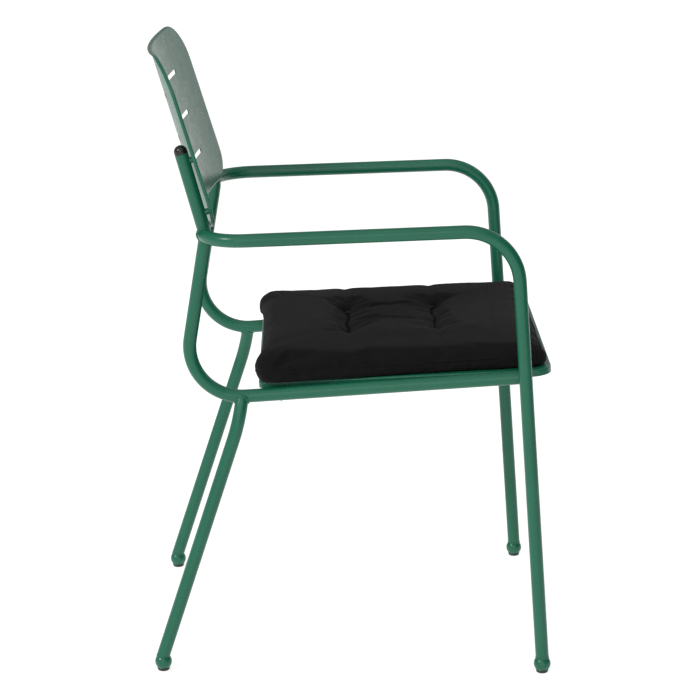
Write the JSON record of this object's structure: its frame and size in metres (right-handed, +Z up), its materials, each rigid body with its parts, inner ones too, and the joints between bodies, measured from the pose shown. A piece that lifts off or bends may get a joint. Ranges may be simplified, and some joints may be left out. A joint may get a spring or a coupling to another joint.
{
  "type": "stacking armchair",
  "caption": "Stackable armchair with a bent steel-tube frame, slotted sheet-metal seat and back, ball feet and a loose tufted seat cushion.",
  "frame": {"origin": "on the floor, under the middle of the chair's outer box", "axes": "+Z up, -Y the way the chair faces, +X to the sitter's left"},
  "size_m": [0.5484, 0.5742, 0.8854],
  "materials": {
    "paint": "semi-gloss dark green powder coat",
    "black_plastic": "black moulded plastic",
    "cushion_fabric": "matt black woven polyester"
  },
  "bodies": {
    "frame": {"right_arm_leg_tube": "paint", "left_arm_leg_tube": "paint", "right_back_rail_tube": "paint", "left_back_rail_tube": "paint", "right_rear_leg": "paint", "left_rear_leg": "paint", "front_cross_tube": "paint", "rear_cross_tube": "paint", "seat_panel": "paint", "back_panel": "paint", "right_lower_back_stud": "paint", "left_lower_back_stud": "paint", "right_upper_back_stud": "paint", "left_upper_back_stud": "paint", "right_front_foot_ferrule": "paint", "left_front_foot_ferrule": "paint", "right_rear_foot_ferrule": "paint", "left_rear_foot_ferrule": "paint", "right_front_foot_glide": "black_plastic", "left_front_foot_glide": "black_plastic", "right_rear_foot_glide": "black_plastic", "left_rear_foot_glide": "black_plastic", "right_upright_plug": "black_plastic", "left_upright_plug": "black_plastic"},
    "cushion": {"cushion": "cushion_fabric"}
  },
  "joints": [
    {"name": "cushion_lift", "type": "slide", "parent": "frame", "child": "cushion", "axis": [0, 0, 1], "range_m": [0, 0.3]}
  ]
}
